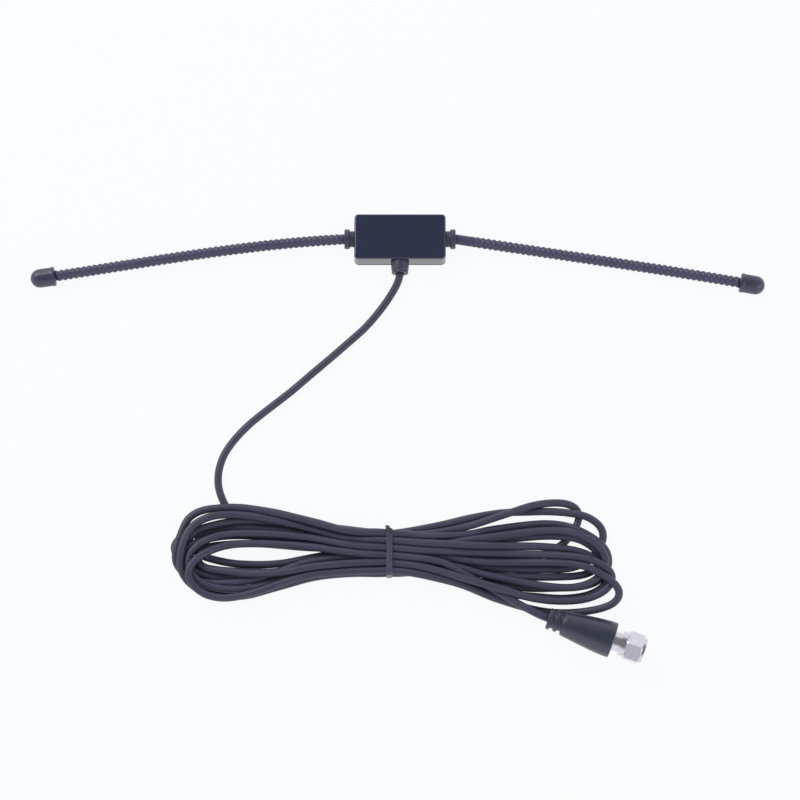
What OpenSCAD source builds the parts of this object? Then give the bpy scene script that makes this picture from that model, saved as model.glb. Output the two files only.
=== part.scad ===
// Indoor dipole antenna: a small housing, two bendable ribbed rods and a coiled lead with a screw plug.
// Origin: centre of the housing's back face, which lies on the table. +X runs along the rods,
// -Y is the side that the lead leaves from, +Z is up. All sizes are in millimetres.

/* [Housing] */
// Length of the housing, along the rods
housing_length = 38; // [36:0.5:60]
// Depth of the housing, front to back
housing_depth = 19.6; // [19:0.2:30]
// Height of the housing
housing_height = 9.2; // [9:0.1:14]
// Wall of the front shell
shell_wall = 1.2; // [0.9:0.1:1.4]
// How far each outer side leans in from foot to top
shell_draft = 0.35; // [0.1:0.05:0.6]
// Radius of the upright corners
corner_radius = 2; // [1:0.1:3]
// Radius of the rounded top edges
top_edge_radius = 0.7; // [0.2:0.1:1]
// Thickness of the back cover
cover_thickness = 1.2; // [1:0.1:1.4]
// Height of the rods' and the lead's axes at the housing
axis_height = 4.6; // [4.5:0.05:4.8]
// Distance between the snap tabs of one long side
tab_spacing = 20; // [16:1:26]
// Width of a snap tab
tab_width = 4; // [3:0.5:5]
// Height of a snap tab above the cover
tab_height = 3; // [2.4:0.1:4]
// Thickness of a snap tab
tab_thickness = 0.9; // [0.7:0.1:1]
// Radius of the bead on a snap tab
tab_bead_radius = 0.35; // [0.2:0.05:0.45]

/* [Grommets] */
// Diameter of a rod grommet between the housing and its flange
neck_diameter = 6.6; // [6.2:0.1:7]
// Length of that neck
neck_length = 2; // [1:0.1:4]
// Diameter of a rod grommet's flange
flange_diameter = 8.1; // [7.2:0.1:8.6]
// Thickness of a rod grommet's flange
flange_thickness = 2.1; // [1.5:0.1:4]
// Diameter of a grommet or gland where it goes through the wall
shank_diameter = 5.4; // [5.1:0.1:5.8]
// Diameter of a grommet's or gland's collar inside the wall
collar_diameter = 6.2; // [5.9:0.1:6.2]
// Thickness of that collar
collar_thickness = 1.2; // [0.8:0.1:1.3]
// Diameter of the lead's gland at the wall
gland_diameter = 7.6; // [7:0.1:8.4]
// Diameter of the gland at its free end
gland_end_diameter = 6.9; // [6:0.1:7.6]
// Length of the gland outside the wall
gland_length = 5.2; // [3:0.1:12]
// Radius of the gland's rounded end
gland_edge_radius = 0.8; // [0.3:0.1:1.2]

/* [Rods] */
// Reach of the left rod's tip from the middle of the housing
left_reach = 151; // [110:1:200]
// Reach of the right rod's tip from the middle of the housing
right_reach = 149; // [110:1:200]
// Diameter of the sleeve at the bottom of its ridges
sleeve_root_diameter = 3.6; // [3.2:0.1:4]
// Height of the screw-like ridge on the sleeve
ridge_height = 0.5; // [0.2:0.05:0.7]
// Distance from one ridge to the next
ridge_pitch = 2.25; // [2:0.05:4]
// Length over which the ridge fades in beside the grommet
ridge_fade = 6; // [2:0.5:12]
// Diameter of the wire inside a sleeve
wire_diameter = 1.2; // [0.8:0.1:1.6]
// Diameter of a tip cap
cap_diameter = 7.6; // [6.6:0.1:8.4]
// Length of a tip cap
cap_length = 10; // [8:0.5:14]
// Thickness of the cap's closed end
cap_end_thickness = 2.6; // [2:0.1:3.4]
// How far the cap's open rim stands out
cap_rim = 0.15; // [0:0.05:0.3]
// How far the left tip lies in front of its grommet
left_sweep = 17; // [5:0.5:24]
// How far the right tip lies in front of its grommet
right_sweep = 20; // [5:0.5:24]

/* [Board and balun] */
// Length of the circuit board
board_length = 28; // [26:0.5:30]
// Depth of the circuit board
board_depth = 12; // [10:0.5:13]
// Thickness of the circuit board
board_thickness = 1; // [0.8:0.1:1.2]
// Height of the posts that carry the board
post_height = 0.8; // [0.6:0.1:1]
// Diameter of those posts
post_diameter = 2.4; // [1.8:0.1:2.8]
// Diameter of the locating pins on the posts
post_pin_diameter = 1; // [0.8:0.1:1.3]
// Length of a rod terminal along the rod
terminal_length = 3; // [2:0.1:3]
// Width of a rod terminal
terminal_width = 2.8; // [2.2:0.1:3.4]
// Radius of the ferrite ring's centre line
ring_radius = 2.2; // [2:0.1:2.3]
// Diameter of the ferrite ring's section
ring_section = 2.2; // [1.8:0.1:2.3]
// Diameter of the enamelled winding wire
winding_wire = 0.4; // [0.3:0.05:0.45]
// Turns of each winding
winding_turns = 4; // [3:1:5]
// Length of the chip capacitor
capacitor_length = 3.2; // [2:0.2:4]
// Width of the chip capacitor
capacitor_width = 1.6; // [1:0.1:2.4]
// Height of the chip capacitor
capacitor_height = 1.2; // [0.6:0.1:2]

/* [Lead] */
// Diameter of the coaxial lead
cord_diameter = 3.1; // [2.6:0.1:3.2]
// Diameter of the lead's braid
braid_diameter = 2.1; // [1.8:0.1:2.3]
// Diameter of the lead's inner insulation
insulation_diameter = 1.5; // [1:0.1:1.7]
// Diameter of the lead's inner conductor
conductor_diameter = 0.5; // [0.3:0.1:0.8]
// Height of the tied hank
hank_height = 8.8; // [7:0.1:9.5]
// Width of the hank's bundle under the tie
bundle_width = 18.5; // [16:0.5:20]
// Width of the tie, along the bundle
tie_width = 2.4; // [1.5:0.1:4]
// Thickness of the tie
tie_thickness = 0.6; // [0.3:0.1:1]

/* [Plug] */
// Direction of the plug on the table, in degrees from +X
plug_angle = -19; // [-30:1:-10]
// Length of the moulded boot
boot_length = 27; // [24:0.5:36]
// Diameter of the boot at its front end
boot_diameter = 14.2; // [13:0.1:16]
// Diameter of the boot at the back of its cone
boot_back_diameter = 9.6; // [8:0.1:12]
// Diameter of the two rings behind the cone
boot_ring_diameter = 8.6; // [7.4:0.1:9.4]
// Diameter of the grooves between those rings
boot_groove_diameter = 7; // [6:0.1:7.2]
// Width of one ring or groove
boot_ring_width = 1.5; // [1:0.1:2]
// Diameter of the metal ferrule
ferrule_diameter = 7.8; // [7.2:0.1:8.4]
// Length of the ferrule that shows between boot and nut
ferrule_shown = 3.2; // [2:0.1:8]
// Depth of the ferrule inside the boot
ferrule_depth = 11; // [8:0.5:14]
// Diameter of the ferrule's neck, on which the nut turns
ferrule_neck_diameter = 6.8; // [6.4:0.1:7]
// Diameter of the flange that keeps the nut on
ferrule_flange_diameter = 8.2; // [7.6:0.1:8.4]
// Diameter of the white insulator
dielectric_diameter = 4.4; // [3:0.1:5.6]
// Diameter of the centre pin where it is free
pin_diameter = 0.8; // [0.6:0.1:1]
// Diameter of the pin's root, which the insulator holds
pin_root_diameter = 1.2; // [1.1:0.1:1.8]
// How far the pin stands out of the nut
pin_proud = 0.4; // [0:0.1:3]
// Width of the nut across its flats
nut_across_flats = 11; // [11:0.1:12]
// Diameter of the nut's thread, at its crests
nut_thread_diameter = 8.7; // [8.6:0.05:8.9]
// Length of the round shoulder behind the hexagon
nut_shoulder_length = 2; // [1.7:0.1:4]
// Length of the hexagon
nut_hex_length = 6.6; // [4:0.1:10]
// Length of the round lip in front of the hexagon
nut_lip_length = 1; // [0.4:0.1:2]
// Diameter of the nut's shoulder and lip
nut_round_diameter = 10; // [9.6:0.1:10.8]

/* [Fits] */
// Radial gap round a piece that is pushed or moulded into another
fit_gap = 0.05; // [0.02:0.01:0.08]
// Radial gap between the turning nut and the ferrule's neck
running_gap = 0.05; // [0.03:0.01:0.08]
// Gap at each end of the nut's collar
end_play = 0.1; // [0.05:0.05:0.3]

/* [Hidden] */
$fn = 48;

// Flat seats on the shell's outer walls, and the cavity's inner walls
seat_x = housing_length / 2 - shell_draft;
seat_y = housing_depth / 2 - shell_draft;
inner_x = seat_x - shell_wall;
inner_y = seat_y - shell_wall;
cavity_top = housing_height - shell_wall;

// Rod path: straight through the grommet up to its mouth, then a soft curve down to the resting tip
mouth_x = seat_x + neck_length + flange_thickness;
sleeve_radius = (sleeve_root_diameter + ridge_height) / 2;
sleeve_proud = 0.4;
sleeve_start = inner_x - collar_thickness - sleeve_proud;
rest_height = cap_diameter / 2 + cap_rim;
sleeve_sides = 12;
rings_per_pitch = 4;
channel_rings = 24;
// Each rod: side, sweep, two coefficients of its curve, and reach. With a third, the coefficients add up to 1.
LEFT = [-1, left_sweep, 0.38, 1.12, left_reach];
RIGHT = [1, right_sweep, 1, -0.15, right_reach];

// Step between the shell's foot and the cover's edge, which shows as a fine seam
cover_step = 0.15;

// Board
board_top = cover_thickness + post_height + board_thickness;
post_inset = 1.5;
terminal_inset = 0.2;
terminal_x = board_length / 2 - terminal_inset - terminal_length / 2;
terminal_height = 2 * (axis_height - board_top);
lead_terminal_width = 2.6;
ring_x = -(terminal_x - terminal_length / 2 + lead_terminal_width / 2) / 2;
ring_y = 1;
winding_gap = 0.06;
winding_radius = ring_section / 2 + winding_wire / 2 + winding_gap;
ring_z = board_top + winding_radius + winding_wire / 2;

// Where the lead's layers end, counted from the board's front edge
jacket_end_y = -board_depth / 2 - 0.2;
braid_end_y = -board_depth / 2 + 2.4;
insulation_end_y = braid_end_y + 0.6;
conductor_end_y = -board_depth / 2 + 5.2;
saddle_width = 4;
saddle_length = 1.6;
lead_terminal_length = 2;

// Lead: where it leaves the gland, and its points from there. Heights are above the table.
exit_y = -(seat_y + gland_length);
cord_radius = cord_diameter / 2;
run_points = [
    [0, 0, axis_height], [0, -1.2, axis_height], [-0.7, -3.2, 4.3], [-2.1, -6, 3.6], [-4, -9, 2.7],
    [-6.2, -12.2, 2], [-8.8, -15.6, 1.6], [-14.3, -22.1, cord_radius], [-21.6, -28.8, cord_radius],
    [-29.1, -35.5, cord_radius], [-36.8, -42.2, cord_radius], [-44.4, -48.9, cord_radius],
    [-52.7, -55.5, cord_radius], [-60.7, -62.1, cord_radius], [-66.9, -68.7, cord_radius],
    [-71.2, -75.3, cord_radius], [-73.1, -81.9, cord_radius], [-73, -88.4, cord_radius],
    [-71, -94, cord_radius], [-68.5, -98, cord_radius]
];
tail_start = [32, -126.5, 4.6];
tail_middle = [[40, -130.4, 5.2], [47, -134.6, 6], [52.5, -138.5, 6.6]];
plug_back = [58.6, -141.8, boot_diameter / 2];
cord_sides = 8;

// Hank outline from the lead's exit: left lobe, waist, right lobe
tie_x = -4.2;
bundle_y = -115.5;
bundle_corner = 3;
twist_diameter = 1.8;
twist_length = 2;
hank_outline = [
    [-7.5, -106], [-24, -103], [-36, -100.4], [-49, -98], [-62, -96], [-70, -95.7], [-79, -98],
    [-86, -103], [-90.5, -110.5], [-92, -115], [-89.5, -123], [-84, -129], [-77, -133], [-68, -134.5],
    [-57, -132.6], [-46, -128.6], [-36, -125.7], [-22, -124.6], [-8, -125], [10, -127.2],
    [25, -131.2], [44, -135.6], [57, -136.6], [66, -137.4], [75, -138.4], [83, -136.6], [88, -132.5],
    [87, -127], [84.5, -120], [83, -110], [78, -101], [71.5, -96.5], [64, -93], [52, -94.6],
    [34, -98.5], [16, -102.2], [1, -105.6]
];
hank_steps = 3;

// Plug: places along its axis, from the back of the boot
ferrule_start = boot_length - ferrule_depth;
nut_start = boot_length + ferrule_shown;
nut_collar = 1.5;
nut_end = nut_start + nut_shoulder_length + nut_hex_length + nut_lip_length;
ferrule_flange = 1;
ferrule_front = nut_start + nut_collar + end_play + ferrule_flange;
pin_start = ferrule_start + 3;
nut_chamfer = 1.2;

function unit(v) = v / norm(v);

// Point of a smooth curve between b and c, with neighbours a and d
function between(a, b, c, d, t) =
    0.5 * (2 * b + (c - a) * t + (2 * a - 5 * b + 4 * c - d) * t * t
    + (3 * b - a - 3 * c + d) * t * t * t);

// Smooth open curve through the points
function smooth_run(pts, steps) = [
    for (i = [0:len(pts) - 2])
        for (s = [0:steps - 1])
            between(pts[max(i - 1, 0)], pts[i], pts[i + 1], pts[min(i + 2, len(pts) - 1)], s / steps),
    pts[len(pts) - 1]
];

// Smooth closed curve through the points
function smooth_loop(pts, steps) = let (n = len(pts)) [
    for (i = [0:n - 1])
        for (s = [0:steps - 1])
            between(pts[(i + n - 1) % n], pts[i], pts[(i + 1) % n], pts[(i + 2) % n], s / steps)
];

// Direction of a path at its point i
function heading(path, i) = unit(path[min(i + 1, len(path) - 1)] - path[max(i - 1, 0)]);

// Ring of points round a centre, square to a direction, with one radius per point
function ring(centre, dir, radii) =
    let (n = len(radii), side = unit(cross([0, 0, 1], dir)), up = cross(dir, side))
    [for (k = [0:n - 1]) centre + radii[k] * (cos(360 * k / n) * side + sin(360 * k / n) * up)];

function even_radii(radius, sides) = [for (k = [1:sides]) radius];

function flatten(lists) = [for (l = lists) for (item = l) item];

function reversed(faces) = [for (f = faces) [f[2], f[1], f[0]]];

// Triangles of the wall through successive rings, whose points start at index first
function wall_faces(rings, sides, first) = [
    for (i = [0:rings - 2])
        for (k = [0:sides - 1])
            let (a = first + i * sides + k, b = first + i * sides + (k + 1) % sides)
            for (face = [[a, a + sides, b + sides], [a, b + sides, b]]) face
];

// Triangles that close a ring
function cap_faces(sides, first) = [for (k = [1:sides - 2]) [first, first + k, first + k + 1]];

// Triangles between an outer and an inner ring of one end
function rim_faces(sides, outer, inner) = [
    for (k = [0:sides - 1])
        let (next = (k + 1) % sides)
        for (face = [[outer + k, outer + next, inner + next], [outer + k, inner + next, inner + k]])
            face
];

// Solid through rings of points
module solid_sweep(rings) {
    sides = len(rings[0]);
    last = (len(rings) - 1) * sides;
    polyhedron(
        points = flatten(rings),
        faces = concat(
            cap_faces(sides, 0), wall_faces(len(rings), sides, 0), reversed(cap_faces(sides, last))
        )
    );
}

// Pipe whose outer and inner walls run through two lists of rings with the same two ends
module hollow_sweep(outer, inner) {
    sides = len(outer[0]);
    outer_last = (len(outer) - 1) * sides;
    inner_first = len(outer) * sides;
    inner_last = inner_first + (len(inner) - 1) * sides;
    polyhedron(
        points = flatten(concat(outer, inner)),
        faces = concat(
            wall_faces(len(outer), sides, 0),
            reversed(wall_faces(len(inner), sides, inner_first)),
            rim_faces(sides, 0, inner_first),
            reversed(rim_faces(sides, outer_last, inner_last))
        )
    );
}

// Round solid along a path of points
module round_run(path, radius, sides) {
    solid_sweep([
        for (i = [0:len(path) - 1]) ring(path[i], heading(path, i), even_radii(radius, sides))
    ]);
}

// Place and direction on a rod at the distance x from the housing's middle
function rod_share(rod, x) = max(0, (x - mouth_x) / (rod[4] - mouth_x));
function rod_point(rod, x) =
    let (u = rod_share(rod, x), bend = rod[2] * u + rod[3] * u * u + (1 - rod[2] - rod[3]) * u * u * u)
    [rod[0] * x, -rod[1] * bend, axis_height + (rest_height - axis_height) * u * u * (3 - 2 * u)];
function rod_heading(rod, x) = unit(rod_point(rod, x + 0.2) - rod_point(rod, x - 0.2));
function rod_ring(rod, x, radii) = ring(rod_point(rod, x), rod_heading(rod, x), radii);

// Stations along a rod: a few round the bore, and some per pitch for the ridge
ridge_step = ridge_pitch / rings_per_pitch;
function sleeve_stop(rod) = rod[4] - cap_end_thickness - 0.1;
function sleeve_x(rod) =
    let (stop = sleeve_stop(rod))
    concat(
        [sleeve_start],
        [for (x = mouth_x + ridge_step; x < stop - ridge_step / 2; x = x + ridge_step) x],
        [stop]
    );
function channel_x(rod) =
    let (step = (sleeve_stop(rod) - mouth_x) / channel_rings)
    concat([sleeve_start], [for (i = [0:channel_rings]) mouth_x + i * step]);

// The ridge winds round the sleeve once per pitch, and fades out at both ends
function ridge_strength(rod, x) =
    min(1, max(0, (x - mouth_x) / ridge_fade)) * min(1, max(0, (sleeve_stop(rod) - x) / ridge_pitch));
function sleeve_radii(rod, x) = [
    for (k = [1:sleeve_sides])
        sleeve_radius
        + ridge_height / 2 * ridge_strength(rod, x) * cos(360 * (k / sleeve_sides - x / ridge_pitch))
];

// Plan of a rectangle with round corners, from straight and round parts only
module rounded_rectangle(length, width, radius) {
    square([length - 2 * radius, width], center = true);
    square([length, width - 2 * radius], center = true);
    for (x = [-1, 1])
        for (y = [-1, 1])
            translate([x * (length / 2 - radius), y * (width / 2 - radius)])
                circle(r = radius);
}

// Upright section of the shell: sides that lean in, and round top edges
module leaning_section(width) {
    top = width / 2 - shell_draft;
    arc_x = top - top_edge_radius;
    arc_z = housing_height - top_edge_radius;
    arc = [for (a = [0:15:90]) [arc_x + top_edge_radius * cos(a), arc_z + top_edge_radius * sin(a)]];
    right = concat([[width / 2, 0]], arc);
    polygon(concat(right, [for (i = [len(right) - 1:-1:0]) [-right[i][0], right[i][1]]]));
}

module upright_along_x(length) {
    rotate([90, 0, 90])
        linear_extrude(length, center = true)
            children();
}

module upright_along_y(length) {
    rotate([90, 0, 0])
        linear_extrude(length, center = true)
            children();
}

// Turns a child that stands on +Z so that it points out of the left or right end
module at_rod_end(side, start) {
    translate([side * start, 0, axis_height])
        rotate([0, side * 90, 0])
            children();
}

// Turns a child that stands on +Z so that it points out of the front
module at_lead_side(start) {
    translate([0, -start, axis_height])
        rotate([90, 0, 0])
            children();
}

module shell_outside() {
    intersection() {
        translate([0, 0, cover_thickness])
            linear_extrude(housing_height - cover_thickness)
                rounded_rectangle(housing_length, housing_depth, corner_radius);
        upright_along_y(housing_depth + 2)
            leaning_section(housing_length);
        upright_along_x(housing_length + 2)
            leaning_section(housing_depth);
    }
}

// Beads of the snap tabs, or with a gap the grooves that they click into
module tab_beads(gap) {
    for (x = [-1, 1])
        for (y = [-1, 1])
            translate([
                x * tab_spacing / 2,
                y * (inner_y - fit_gap),
                cover_thickness + tab_height - 2 * tab_bead_radius
            ])
                rotate([0, 90, 0])
                    cylinder(r = tab_bead_radius + gap, h = tab_width + 2 * gap, center = true);
}

// Round seats that take the grommets and the gland in the leaning walls
module outer_seats() {
    for (side = [-1, 1])
        at_rod_end(side, seat_x)
            cylinder(d = neck_diameter + 2 * fit_gap, h = 2);
    at_lead_side(seat_y)
        cylinder(d = gland_diameter + 2 * fit_gap, h = 2);
}

module front_shell() {
    color([0.06, 0.06, 0.09])
        difference() {
            shell_outside();
            translate([0, 0, cover_thickness - 1])
                linear_extrude(cavity_top - cover_thickness + 1)
                    rounded_rectangle(2 * inner_x, 2 * inner_y, corner_radius / 2);
            for (side = [-1, 1])
                at_rod_end(side, inner_x - 1)
                    cylinder(d = shank_diameter + 2 * fit_gap, h = shell_wall + 3);
            at_lead_side(inner_y - 1)
                cylinder(d = shank_diameter + 2 * fit_gap, h = shell_wall + 3);
            outer_seats();
            tab_beads(fit_gap);
        }
}

module at_board_corners() {
    for (x = [-1, 1])
        for (y = [-1, 1])
            translate([x * (board_length / 2 - post_inset), y * (board_depth / 2 - post_inset), 0])
                children();
}

module snap_tabs() {
    for (x = [-1, 1])
        for (y = [-1, 1])
            translate([
                x * tab_spacing / 2 - tab_width / 2,
                y * (inner_y - fit_gap - tab_thickness / 2) - tab_thickness / 2,
                cover_thickness - 0.1
            ])
                cube([tab_width, tab_thickness, tab_height + 0.1]);
}

module back_cover() {
    color([0.09, 0.09, 0.12]) {
        difference() {
            linear_extrude(cover_thickness)
                rounded_rectangle(
                    housing_length - 2 * cover_step, housing_depth - 2 * cover_step, corner_radius
                );
            outer_seats();
        }
        snap_tabs();
        tab_beads(0);
        at_board_corners() {
            cylinder(d = post_diameter, h = cover_thickness + post_height);
            cylinder(d = post_pin_diameter, h = board_top);
        }
    }
}

module circuit_board() {
    color([0.1, 0.35, 0.2])
        difference() {
            translate([0, 0, board_top - board_thickness])
                linear_extrude(board_thickness)
                    rounded_rectangle(board_length, board_depth, 0.5);
            at_board_corners()
                cylinder(d = post_pin_diameter + 2 * fit_gap, h = board_top + 1);
        }
}

module rod_terminal(side) {
    color([0.8, 0.7, 0.4])
        translate([side * terminal_x, 0, axis_height])
            difference() {
                cube([terminal_length, terminal_width, terminal_height], center = true);
                rotate([0, 90, 0])
                    cylinder(d = wire_diameter + 2 * fit_gap, h = terminal_length + 2, center = true);
            }
}

// Block on the board that grips the lead's braid or inner conductor
module lead_block(middle, width, length, grip) {
    color([0.8, 0.7, 0.4])
        translate([0, middle, axis_height])
            difference() {
                cube([width, length, terminal_height], center = true);
                rotate([90, 0, 0])
                    cylinder(d = grip + 2 * fit_gap, h = length + 2, center = true);
            }
}

module braid_saddle() {
    lead_block(braid_end_y - saddle_length / 2 - 0.3, saddle_width, saddle_length, braid_diameter);
}

module lead_terminal() {
    lead_block(conductor_end_y - lead_terminal_length / 2, lead_terminal_width, lead_terminal_length,
        conductor_diameter);
}

module balun_core() {
    color([0.2, 0.2, 0.22])
        translate([ring_x, ring_y, ring_z])
            rotate_extrude()
                translate([ring_radius, 0])
                    circle(d = ring_section);
}

// Wire wound round the ferrite ring over an arc that is centred on one side
module winding(middle) {
    arc = 130;
    steps = winding_turns * 12;
    path = [
        for (i = [0:steps])
            let (
                round_ring = middle + arc * (i / steps - 0.5),
                turn = 360 * winding_turns * i / steps,
                reach = ring_radius + winding_radius * cos(turn)
            )
            [
                ring_x + reach * cos(round_ring),
                ring_y + reach * sin(round_ring),
                ring_z + winding_radius * sin(turn)
            ]
    ];
    rings = [
        for (i = [0:steps])
            let (
                dir = heading(path, i),
                side = unit(cross([sin(middle), -cos(middle), 0.01], dir)),
                up = cross(dir, side)
            )
            [for (k = [0:4]) path[i] + winding_wire / 2 * (cos(72 * k) * side + sin(72 * k) * up)]
    ];
    solid_sweep(rings);
}

module balun_primary() {
    color([0.75, 0.4, 0.15])
        winding(180);
}

module balun_secondary() {
    color([0.6, 0.2, 0.12])
        winding(0);
}

module chip_capacitor() {
    color([0.6, 0.5, 0.35])
        translate([-ring_x - capacitor_length / 2, ring_y - capacitor_width / 2, board_top])
            cube([capacitor_length, capacitor_width, capacitor_height]);
}

// Rubber grommet: collar inside the wall, shank through it, neck and flange outside
module rod_grommet(side) {
    shank_top = collar_thickness + shell_wall;
    neck_top = shank_top + neck_length;
    flange_top = neck_top + flange_thickness;
    edge = 0.3;
    color([0.1, 0.1, 0.13])
        at_rod_end(side, inner_x - collar_thickness)
            rotate_extrude()
                polygon([
                    [sleeve_radius + fit_gap, 0],
                    [collar_diameter / 2, 0],
                    [collar_diameter / 2, collar_thickness],
                    [shank_diameter / 2, collar_thickness],
                    [shank_diameter / 2, shank_top],
                    [neck_diameter / 2, shank_top],
                    [neck_diameter / 2, neck_top],
                    [flange_diameter / 2 - edge, neck_top],
                    [flange_diameter / 2, neck_top + edge],
                    [flange_diameter / 2, flange_top - edge],
                    [flange_diameter / 2 - edge, flange_top],
                    [sleeve_radius + fit_gap, flange_top]
                ]);
}

module rod_sleeve(rod) {
    channel = even_radii(wire_diameter / 2 + fit_gap, sleeve_sides);
    color([0.08, 0.08, 0.11])
        hollow_sweep(
            [for (x = sleeve_x(rod)) rod_ring(rod, x, sleeve_radii(rod, x))],
            [for (x = channel_x(rod)) rod_ring(rod, x, channel)]
        );
}

module rod_wire(rod) {
    radii = even_radii(wire_diameter / 2, cord_sides);
    start = terminal_x - terminal_length / 2;
    color([0.75, 0.76, 0.8])
        solid_sweep([
            for (x = concat([start], [for (x = channel_x(rod)) min(x, sleeve_stop(rod) - 0.5)]))
                rod_ring(rod, x, radii)
        ]);
}

// Soft cap with a domed end, pushed over the rod's tip
module tip_cap(rod) {
    tip = rod_point(rod, rod[4]);
    dir = rod_heading(rod, rod[4]);
    radius = cap_diameter / 2;
    bore = sleeve_radius + ridge_height / 2 + fit_gap;
    rim_length = 1.2;
    dome = [for (a = [0:9:90]) [radius * cos(a), radius * (sin(a) - 1)]];
    color([0.1, 0.1, 0.13])
        translate(tip)
            rotate([0, acos(dir[2]), atan2(dir[1], dir[0])])
                rotate_extrude()
                    polygon(concat(
                        [
                            [bore, -cap_length],
                            [radius + cap_rim, -cap_length],
                            [radius + cap_rim, rim_length - cap_length],
                            [radius, rim_length + cap_rim - cap_length]
                        ],
                        dome,
                        [[0, -cap_end_thickness], [bore, -cap_end_thickness]]
                    ));
}

// Stubby strain relief with a round end
module lead_gland() {
    shank_top = collar_thickness + shell_wall;
    gland_top = shank_top + gland_length;
    end_radius = gland_end_diameter / 2 - gland_edge_radius;
    rim = [
        for (a = [0:15:90])
            [end_radius + gland_edge_radius * cos(a), gland_top + gland_edge_radius * (sin(a) - 1)]
    ];
    color([0.08, 0.08, 0.11])
        at_lead_side(inner_y - collar_thickness)
            rotate_extrude()
                polygon(concat(
                    [
                        [cord_radius + fit_gap, 0],
                        [collar_diameter / 2, 0],
                        [collar_diameter / 2, collar_thickness],
                        [shank_diameter / 2, collar_thickness],
                        [shank_diameter / 2, shank_top],
                        [gland_diameter / 2, shank_top]
                    ],
                    rim,
                    [[cord_radius + fit_gap, gland_top]]
                ));
}

// Stripped end of the lead: jacket through the gland, then braid, insulation and conductor
module lead_inner_end() {
    color([0.1, 0.1, 0.13])
        translate([0, exit_y, axis_height])
            rotate([-90, 0, 0]) {
                cylinder(d = cord_diameter, h = jacket_end_y - exit_y);
                cylinder(d = braid_diameter, h = braid_end_y - exit_y);
                cylinder(d = insulation_diameter, h = insulation_end_y - exit_y);
                cylinder(d = conductor_diameter, h = conductor_end_y - exit_y);
            }
}

module lead_run() {
    color([0.1, 0.1, 0.13])
        translate([0, exit_y, 0])
            round_run(run_points, cord_radius, cord_sides);
}

// The plane of the last ring is square to the plug, so the tail meets the boot face to face
module lead_tail() {
    along = [cos(plug_angle), sin(plug_angle), 0];
    path = smooth_run(concat([tail_start], tail_middle, [plug_back - 3 * along, plug_back]), 1);
    color([0.1, 0.1, 0.13])
        translate([0, exit_y, 0])
            round_run(path, cord_radius, cord_sides);
}

// Section of the bundle under the tie
module bundle(grow, length) {
    translate([tie_x, exit_y + bundle_y, (tie_thickness + hank_height) / 2])
        upright_along_x(length)
            rounded_rectangle(
                bundle_width + 2 * grow, hank_height - tie_thickness + 2 * grow, bundle_corner + grow
            );
}

module lead_hank() {
    color([0.1, 0.1, 0.13])
        difference() {
            translate([0, exit_y, 0])
                linear_extrude(hank_height)
                    polygon(smooth_loop(hank_outline, hank_steps));
            difference() {
                bundle(bundle_width, tie_width);
                bundle(0, tie_width + 1);
            }
        }
}

module hank_tie() {
    twist_y = exit_y + bundle_y + bundle_width / 2 + tie_thickness;
    color([0.12, 0.12, 0.15]) {
        difference() {
            bundle(tie_thickness, tie_width);
            bundle(0, tie_width + 1);
        }
        translate([tie_x, twist_y - 0.1, hank_height / 2])
            rotate([-90, 0, 0])
                cylinder(d = twist_diameter, h = twist_length);
    }
}

// Turns a child that stands on +Z so that it lies along the plug's axis
module on_plug_axis() {
    translate(plug_back + [0, exit_y, 0])
        rotate([0, 0, plug_angle])
            rotate([0, 90, 0])
                children();
}

// Moulded boot: two rings with grooves between them, then a cone that widens to the front
module plug_boot() {
    w = boot_ring_width;
    edge = 0.6;
    color([0.09, 0.09, 0.12])
        on_plug_axis()
            rotate_extrude()
                polygon([
                    [cord_radius + fit_gap, 0],
                    [boot_ring_diameter / 2, 0],
                    [boot_ring_diameter / 2, w],
                    [boot_groove_diameter / 2, w],
                    [boot_groove_diameter / 2, 2 * w],
                    [boot_ring_diameter / 2, 2 * w],
                    [boot_ring_diameter / 2, 3 * w],
                    [boot_groove_diameter / 2, 3 * w],
                    [boot_groove_diameter / 2, 4 * w],
                    [boot_back_diameter / 2, 4 * w],
                    [boot_diameter / 2, boot_length - 3],
                    [boot_diameter / 2, boot_length - edge],
                    [boot_diameter / 2 - edge, boot_length],
                    [ferrule_diameter / 2 + fit_gap, boot_length],
                    [ferrule_diameter / 2 + fit_gap, ferrule_start],
                    [cord_radius + fit_gap, ferrule_start]
                ]);
}

// Lead inside the boot, up to the ferrule
module plug_lead_end() {
    color([0.1, 0.1, 0.13])
        on_plug_axis()
            cylinder(d = cord_diameter, h = ferrule_start);
}

module plug_ferrule() {
    neck_end = nut_start + nut_collar + end_play;
    color([0.8, 0.8, 0.84])
        on_plug_axis()
            difference() {
                union() {
                    translate([0, 0, ferrule_start])
                        cylinder(d = ferrule_diameter, h = nut_start - end_play - ferrule_start);
                    translate([0, 0, ferrule_start])
                        cylinder(d = ferrule_neck_diameter, h = ferrule_front - ferrule_start);
                    translate([0, 0, neck_end])
                        cylinder(d = ferrule_flange_diameter, h = ferrule_flange);
                }
                translate([0, 0, ferrule_start + 1])
                    cylinder(d = dielectric_diameter + 2 * fit_gap, h = ferrule_front);
            }
}

module plug_dielectric() {
    color([0.93, 0.93, 0.9])
        on_plug_axis()
            difference() {
                translate([0, 0, ferrule_start + 1])
                    cylinder(d = dielectric_diameter, h = ferrule_front - ferrule_start - 1);
                translate([0, 0, pin_start])
                    cylinder(d = pin_root_diameter + 2 * fit_gap, h = ferrule_front);
            }
}

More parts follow.
